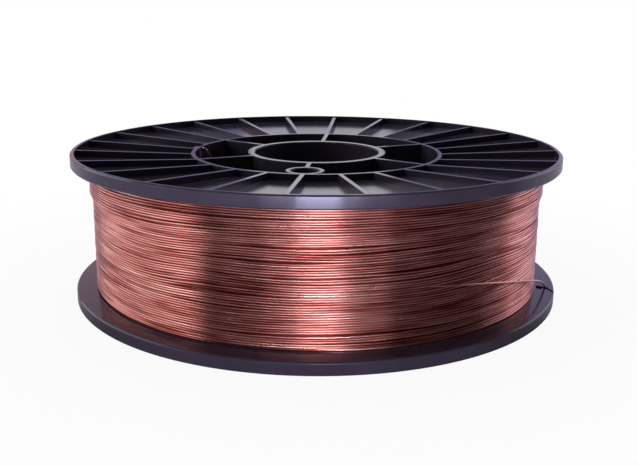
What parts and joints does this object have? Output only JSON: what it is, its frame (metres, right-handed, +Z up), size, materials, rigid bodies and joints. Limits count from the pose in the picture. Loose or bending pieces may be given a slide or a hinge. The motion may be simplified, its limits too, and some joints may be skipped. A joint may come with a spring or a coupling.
{
  "type": "welding wire spool",
  "caption": "Flanged plastic wire spool with ribbed, dished flanges, a central bore and an offset drive hole, filled with copper-coated welding wire.",
  "frame": {"origin": "centre of the lower rim, on the floor and on the spindle's axis", "axes": "+Z up along the spindle's axis; the drive hole lies close to -Y"},
  "size_m": [0.2, 0.2, 0.0595],
  "materials": {
    "spool_plastic": "black moulded styrene plastic, glossy, with faint flow and mould marks",
    "coppered_wire": "bright copper-coated steel wire, drawn and layer wound"
  },
  "bodies": {
    "root": {"spool": "spool_plastic", "wire_winding": "coppered_wire", "wire_tail": "coppered_wire", "wire_start": "coppered_wire"}
  },
  "joints": []
}
